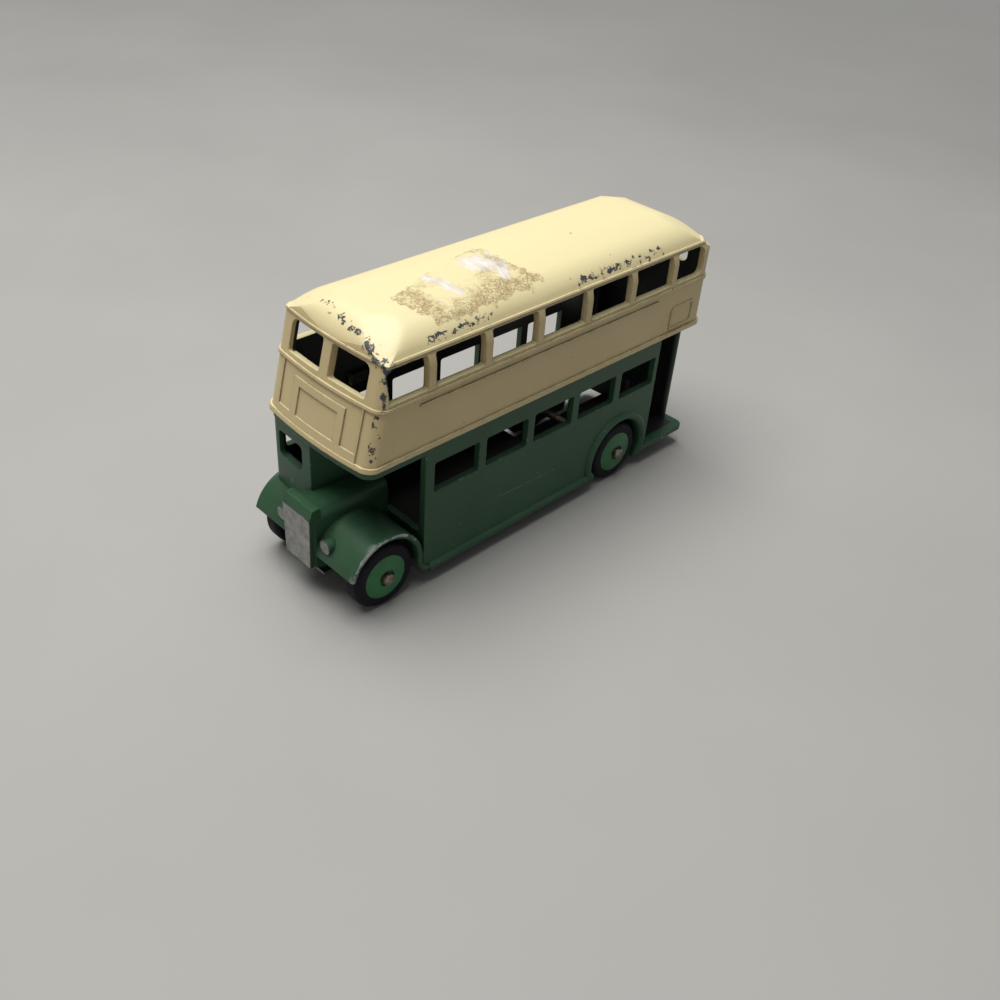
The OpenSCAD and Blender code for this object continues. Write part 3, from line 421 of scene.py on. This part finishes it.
RADIATOR_FRONT = (50.55, 50.65)     # silvered face
RADIATOR_TOP = (18.55, 18.35)
RADIATOR_FOOT = (7.0, 7.25)
RADIATOR_SIDE = (3.62, 3.50)
RADIATOR_TAPER = 0.030
SILVER_RAGGED = 0.22
LAMP_FRONT = (49.25, 49.35)
LAMP_ACROSS = (5.5, 8.1)
LAMP_HEIGHT = (12.1, 14.7)
LAMP_SOFT = 0.1

RIM_SIDE = (14.95, 15.3)            # outer rims of wings and boards
RIM_HEIGHT = (17.6, 16.0)
WING_REAR = (33.5, 36.0)
GREEN_EDGE_WEAR, RIM_WEAR, WING_WEAR = 0.14, 0.06, 0.26
BARE_LEVEL, BARE_SOFT = 0.725, 0.008
NICK_LEVEL, NICK_SOFT = 0.788, 0.006

SALOON_WALL = (13.55, 13.40)        # hollow of the saloon
SALOON_FRONT = (30.6, 30.4)
SALOON_REAR = (-48.9, -48.6)
CAB_ACROSS = (-13.45, -3.25)        # hollow of the cab
CAB_LENGTH = (30.3, 44.25)
CAB_HEIGHT = (17.1, 31.0)
CAB_SOFT = 0.05


def silvered(p, across):
    """Mask of the silver paint on the radiator's face and in the headlamps."""
    ragged = p.spread(p.noise(520.0, 3.0), -SILVER_RAGGED * MM, SILVER_RAGGED * MM)
    z = p.add(p.z, ragged)
    radiator = p.both(
        p.ramp(p.x, *RADIATOR_FRONT),
        p.span(p.nx, 0.9, 0.97),
        p.ramp(z, *RADIATOR_TOP),
        p.ramp(z, *RADIATOR_FOOT),
        p.ramp(p.add(p.sub(across, p.mul(p.z, RADIATOR_TAPER)), ragged), *RADIATOR_SIDE))
    lamps = p.both(
        p.ramp(p.x, *LAMP_FRONT),
        p.span(p.nx, 0.8, 0.95),
        p.within(across, *LAMP_ACROSS, LAMP_SOFT),
        p.within(p.z, *LAMP_HEIGHT, LAMP_SOFT))
    return p.either(radiator, lamps)


def lower_shaded_inside(p, across):
    """Mask of the hollow of the saloon and the cab, painted near black as shade."""
    saloon = p.both(
        p.ramp(across, *SALOON_WALL), p.ramp(p.x, *SALOON_FRONT), p.ramp(p.x, *SALOON_REAR))
    cab = p.both(
        p.within(p.y, *CAB_ACROSS, CAB_SOFT),
        p.within(p.x, *CAB_LENGTH, CAB_SOFT),
        p.within(p.z, *CAB_HEIGHT, CAB_SOFT))
    return p.either(saloon, cab)


def green():
    p = Paint("green_enamel")
    rounded, edge = p.soft_edges(EDGE_ROUND)
    open_air = p.shade(SHADE_REACH)
    across = p.absolute(p.y)
    wide = p.noise(75.0, 4.0)
    fine = p.noise(900.0, 4.0, 0.6)
    grain = p.noise(2400.0, 3.0, 0.6)
    color = p.mix(p.span(wide, 0.3, 0.72), GREEN_DARK, GREEN_LIGHT)
    color = p.mix(p.span(grain, 0.5, 0.8, 0.0, 0.25), color, GREEN_SPECK)
    dust = p.mul(p.span(p.nz, 0.35, 0.95), p.span(p.noise(240.0, 5.0), 0.45, 0.75, 0.0, 0.20))
    color = p.mix(dust, color, GREEN_DUST)
    # Painted shade in the corners and recesses, blotched like grime
    blotches = p.span(p.noise(300.0, 4.0), 0.3, 0.6, 0.3, 0.9)
    shade_and_grime = p.mul(p.span(open_air, 0.8, 0.35), blotches)
    color = p.mix(shade_and_grime, color, GREEN_SHADE_GRIME)

    # Mottled silver paint
    bright = silvered(p, across)
    mottled = p.noise(640.0, 5.0, 0.65)
    silver = p.mix(p.span(mottled, 0.3, 0.72), SILVER_DARK, SILVER_LIGHT)
    silver = p.mix(p.span(p.noise(190.0, 4.0), 0.5, 0.7, 0.0, 0.35), silver, SILVER_STAIN)
    color = p.mix(bright, color, silver)

    # Bare metal on the rubbed edges of wings, boards and platform, and small nicks
    convex = p.mul(edge, p.span(open_air, 0.4, 0.8))
    rim = p.both(p.ramp(across, *RIM_SIDE), p.ramp(p.z, *RIM_HEIGHT))
    wing_rim = p.both(rim, p.ramp(p.x, *WING_REAR), p.span(p.nz, -0.15, 0.35))
    rim_bias = p.add(p.mul(rim, RIM_WEAR), p.mul(wing_rim, WING_WEAR))
    bias = p.add(p.mul(convex, GREEN_EDGE_WEAR), rim_bias)
    rubbed = p.cut(p.add(p.noise(560.0, 6.0, 0.66), bias), BARE_LEVEL, BARE_SOFT)
    nick = p.cut(p.noise(820.0, 2.0, 0.5), NICK_LEVEL, NICK_SOFT)
    scratch = p.along((14.0, 14.85, 12.2), (-6.0, 14.85, 11.4), 0.14)
    scratch = p.mul(scratch, p.span(fine, 0.42, 0.6, 0.0, 0.5))
    wing_front = p.along((44.5, 15.2, 15.6), (49.2, 15.2, 10.4), 1.2)
    wing_front = p.mul(wing_front, p.span(fine, 0.34, 0.5))
    bare = p.either(rubbed, p.mul(nick, 0.8), scratch, p.mul(wing_front, 0.7))
    bare = p.mul(bare, p.span(bright, 1.0, 0.0))
    color = p.mix(bare, color, p.mix(fine, BARE_DARK, BARE_LIGHT))

    # Hollow of the saloon and cab painted near black as shade
    color = p.mix(lower_shaded_inside(p, across), color, p.mix(wide, HOLLOW_SHADE_DARK, HOLLOW_SHADE_LIGHT))

    rough = p.blend(p.either(dust, shade_and_grime), p.spread(wide, 0.30, 0.44), 0.75)
    rough = p.blend(p.either(bare, bright), rough, 0.46)
    height = p.add(p.mul(grain, 0.05), p.mul(p.noise(160.0, 2.0), 0.35))
    height = p.sub(height, p.mul(bare, 0.7))
    height = p.add(height, p.mul(bright, p.mul(mottled, 0.45)))
    metal = p.add(p.mul(bare, 0.75), p.mul(bright, 0.45))
    return p.finish(color, rough, metal, p.bump(height, ENAMEL_DEPTH, rounded), GREEN_SPECULAR)


# Brighter green enamel of the hubs

HUB_DARK, HUB_LIGHT = (0.013, 0.130, 0.036), (0.026, 0.205, 0.062)
HUB_CORNER_SHADE = (0.012, 0.020, 0.012)
HUB_DUST = (0.12, 0.15, 0.10)
HUB_BARE_DARK, HUB_BARE_LIGHT = (0.15, 0.15, 0.14), (0.38, 0.38, 0.36)
HUB_ROUND = 0.22
HUB_SHADE_REACH = 1.2
HUB_EDGE_WEAR = 0.06
HUB_BARE_LEVEL, HUB_BARE_SOFT = 0.735, 0.01
HUB_DEPTH = 0.08


def hub_green():
    p = Paint("hub_enamel")
    rounded, edge = p.soft_edges(HUB_ROUND)
    open_air = p.shade(HUB_SHADE_REACH)
    wide = p.noise(170.0, 4.0)
    fine = p.noise(1100.0, 4.0, 0.6)
    color = p.mix(p.spread(wide), HUB_DARK, HUB_LIGHT)
    # Painted shade in the corners of the hub
    color = p.mix(p.mul(p.span(open_air, 0.85, 0.4), 0.8), color, HUB_CORNER_SHADE)
    color = p.mix(p.span(p.noise(420.0, 5.0), 0.5, 0.75, 0.0, 0.18), color, HUB_DUST)
    wear = p.add(p.noise(760.0, 5.0, 0.66), p.mul(edge, HUB_EDGE_WEAR))
    bare = p.cut(wear, HUB_BARE_LEVEL, HUB_BARE_SOFT)
    color = p.mix(bare, color, p.mix(fine, HUB_BARE_DARK, HUB_BARE_LIGHT))
    rough = p.blend(bare, p.spread(wide, 0.32, 0.5), 0.45)
    height = p.sub(p.mul(p.noise(420.0, 3.0), 0.4), p.mul(bare, 0.6))
    return p.finish(color, rough, p.mul(bare, 0.7), p.bump(height, HUB_DEPTH, rounded))


# Old black rubber of the tyres, dusty and finely cracked

RUBBER_DARK, RUBBER_LIGHT = (0.0045, 0.0046, 0.0078), (0.0090, 0.0092, 0.0145)
RUBBER_DUST = (0.060, 0.058, 0.058)
RUBBER_ROUND = 0.2
RUBBER_DEPTH = 0.09
RUBBER_SPECULAR = 0.15
CRACK_SCALE = 620.0
CRACK_WIDTH = 0.035


def rubber():
    p = Paint("old_rubber")
    rounded, _ = p.soft_edges(RUBBER_ROUND)
    wide = p.noise(140.0, 4.0)
    fine = p.noise(1500.0, 5.0, 0.65)
    color = p.mix(p.spread(wide), RUBBER_DARK, RUBBER_LIGHT)
    dust = p.span(p.noise(360.0, 6.0, 0.65), 0.54, 0.80, 0.0, 0.26)
    color = p.mix(dust, color, RUBBER_DUST)
    cracks = p.new("ShaderNodeTexVoronoi")
    cracks.feature = "DISTANCE_TO_EDGE"
    cracks.inputs["Scale"].default_value = CRACK_SCALE
    p.put(cracks.inputs["Vector"], p.place)
    whole = p.span(cracks.outputs["Distance"], 0.0, CRACK_WIDTH)
    lumps = p.add(p.mul(whole, 0.12), p.mul(p.noise(240.0, 2.0), 0.4))
    height = p.add(p.mul(fine, 0.35), lumps)
    rough = p.blend(dust, p.spread(wide, 0.50, 0.66), 0.9)
    return p.finish(color, rough, 0.0, p.bump(height, RUBBER_DEPTH, rounded), RUBBER_SPECULAR)


# Bare steel and tinplate, tarnished, and painted near black as shade on the upper faces inside the
# body

RUST = (0.095, 0.050, 0.026)
LID_SHADE_DARK, LID_SHADE_LIGHT = (0.010, 0.010, 0.009), (0.028, 0.027, 0.024)
STEEL_ROUND = 0.15
STEEL_DEPTH = 0.05


def steel(name, dark, light, rust, inside=0.0):
    p = Paint(name)
    rounded, _ = p.soft_edges(STEEL_ROUND)
    wide = p.noise(240.0, 4.0)
    streak = p.noise(900.0, 4.0, 0.6, 0.0, p.stretch((1.0, 0.06, 1.0)))
    color = p.mix(p.spread(p.add(p.mul(wide, 0.5), p.mul(streak, 0.5))), dark, light)
    tarnish = p.span(p.noise(700.0, 5.0, 0.66), 0.46, 0.68, 0.0, rust)
    color = p.mix(tarnish, color, RUST)
    # Upper faces inside the body painted near black as shade
    lid_shade = p.mul(p.span(p.nz, 0.4, 0.8), inside)
    color = p.mix(lid_shade, color, p.mix(wide, LID_SHADE_DARK, LID_SHADE_LIGHT))
    dull = p.either(tarnish, lid_shade)
    rough = p.blend(dull, p.spread(streak, 0.30, 0.48), 0.8)
    metal = p.span(dull, 0.0, 1.0, 0.9, 0.2)
    height = p.add(p.mul(streak, 0.3), p.mul(tarnish, 0.5))
    return p.finish(color, rough, metal, p.bump(height, STEEL_DEPTH, rounded))


# Paints by node, or by the last word of a node's name

paints = {
    "upper_deck": cream(),
    "lower_deck": green(),
    "baseplate": steel("tinplate", (0.24, 0.24, 0.23), (0.40, 0.40, 0.38), rust=0.35, inside=1.0),
    "rivet": steel("spun_metal", (0.26, 0.25, 0.23), (0.44, 0.43, 0.40), rust=0.45),
    "axle": steel("axle_steel", (0.17, 0.135, 0.105), (0.36, 0.30, 0.24), rust=0.8),
    "hub": hub_green(),
    "tyre": rubber(),
}

for name, obj in nodes.items():
    paint = paints.get(name) or paints[name.rsplit("_", 1)[-1]]
    if not obj.material_slots:
        obj.data.materials.append(None)
    for slot in obj.material_slots:
        slot.link = "OBJECT"
        slot.material = paint


# Pale floor, which keeps a pale tone out to the horizon where it is seen

FLOOR_DARK, FLOOR_LIGHT = (0.385, 0.380, 0.362), (0.425, 0.420, 0.400)
FLOOR_FAR = (0.375, 0.370, 0.355, 1.0)
FLOOR_DEPTH = 0.02
FLOOR_HALF = 3.0            # metres
FAR_RANGE = (0.35, 1.5)     # metres from the part over which the far tone comes in


def seen(tree):
    """One for rays from the camera, reflections and glass."""
    rays = tree.nodes.new("ShaderNodeLightPath")
    total = rays.outputs["Is Camera Ray"]
    for name in ("Is Glossy Ray", "Is Transmission Ray"):
        n = tree.nodes.new("ShaderNodeMath")
        n.operation = "MAXIMUM"
        tree.links.new(total, n.inputs[0])
        tree.links.new(rays.outputs[name], n.inputs[1])
        total = n.outputs[0]
    return total


def floor():
    p = Paint("pale_floor")
    tone = p.spread(p.noise(9.0, 4.0))
    color = p.mix(tone, FLOOR_DARK, FLOOR_LIGHT)
    rough = p.span(tone, 0.0, 1.0, 0.66, 0.74)
    mat = p.finish(color, rough, 0.0, p.bump(p.noise(700.0, 3.0), FLOOR_DEPTH))
    far = p.span(p.measure("LENGTH", p.place), *FAR_RANGE)
    p.put(p.shader.inputs["Emission Color"], FLOOR_FAR)
    p.put(p.shader.inputs["Emission Strength"], p.mul(far, seen(p.tree)))
    mesh = bpy.data.meshes.new("floor")
    r = FLOOR_HALF
    mesh.from_pydata([(-r, -r, 0.0), (r, -r, 0.0), (r, r, 0.0), (-r, r, 0.0)], [], [(0, 1, 2, 3)])
    mesh.materials.append(mat)
    plane = bpy.data.objects.new("floor", mesh)
    bpy.context.scene.collection.objects.link(plane)


floor()


# Soft studio light: a large box above, weak ones in front and beside, and a pale room

ROOM_COLOR = (0.93, 0.95, 1.0, 1.0)
ROOM_LIGHT = 0.125      # what the room gives as light
ROOM_SEEN = 0.38        # how bright it looks


def area_lamp(name, spot, aim, size, power, color):
    data = bpy.data.lights.new(name, "AREA")
    data.shape = "RECTANGLE"
    data.size, data.size_y = size
    data.energy = power
    data.color = color
    obj = bpy.data.objects.new(name, data)
    obj.location = spot
    obj.rotation_euler = (Vector(aim) - Vector(spot)).to_track_quat("-Z", "Y").to_euler()
    bpy.context.scene.collection.objects.link(obj)


def room():
    world = bpy.data.worlds.new("room")
    bpy.context.scene.world = world
    world.use_nodes = True
    tree = world.node_tree
    sky = tree.nodes["Background"]
    sky.inputs["Color"].default_value = ROOM_COLOR
    level = tree.nodes.new("ShaderNodeMapRange")
    level.inputs["To Min"].default_value = ROOM_LIGHT
    level.inputs["To Max"].default_value = ROOM_SEEN
    tree.links.new(seen(tree), level.inputs["Value"])
    tree.links.new(level.outputs[0], sky.inputs["Strength"])


area_lamp(
    "top_box", spot=(0.06, -0.12, 0.62), aim=(0.0, 0.0, 0.03), size=(0.55, 0.50),
    power=5.1, color=(1.0, 0.985, 0.96))
area_lamp(
    "front_fill", spot=(0.55, 0.10, 0.22), aim=(0.04, 0.0, 0.03), size=(0.35, 0.35),
    power=0.09, color=(1.0, 0.98, 0.96))
area_lamp(
    "side_fill", spot=(0.05, 0.60, 0.25), aim=(0.0, 0.0, 0.03), size=(0.45, 0.35),
    power=0.06, color=(0.97, 0.98, 1.0))
room()


# Camera at the photograph's angle: angles in degrees, lens and place in millimetres

SENSOR_WIDTH = 36.0
NEAREST_SEEN = 0.01     # metres


def camera(turn, height, roll, lens, spot):
    a, e, r = (math.radians(v) for v in (turn, height, roll))
    back = Vector((math.sin(a) * math.cos(e), -math.cos(a) * math.cos(e), math.sin(e)))
    right = (-back).cross(Vector((0.0, 0.0, 1.0))).normalized()
    up = right.cross(-back)
    side = right * math.cos(r) + up * math.sin(r)
    top = up * math.cos(r) - right * math.sin(r)
    data = bpy.data.cameras.new("camera")
    data.sensor_width = SENSOR_WIDTH
    data.lens = lens
    data.clip_start = NEAREST_SEEN
    obj = bpy.data.objects.new("camera", data)
    turned = Matrix((side, top, back)).transposed().to_4x4()
    obj.matrix_world = Matrix.Translation(Vector(spot) * MM) @ turned
    bpy.context.scene.collection.objects.link(obj)
    bpy.context.scene.camera = obj


camera(
    turn=132.636, height=36.691, roll=4.790, lens=37.998, spot=(138.469, 131.892, 139.782))
bpy.context.scene.view_settings.view_transform = "Standard"
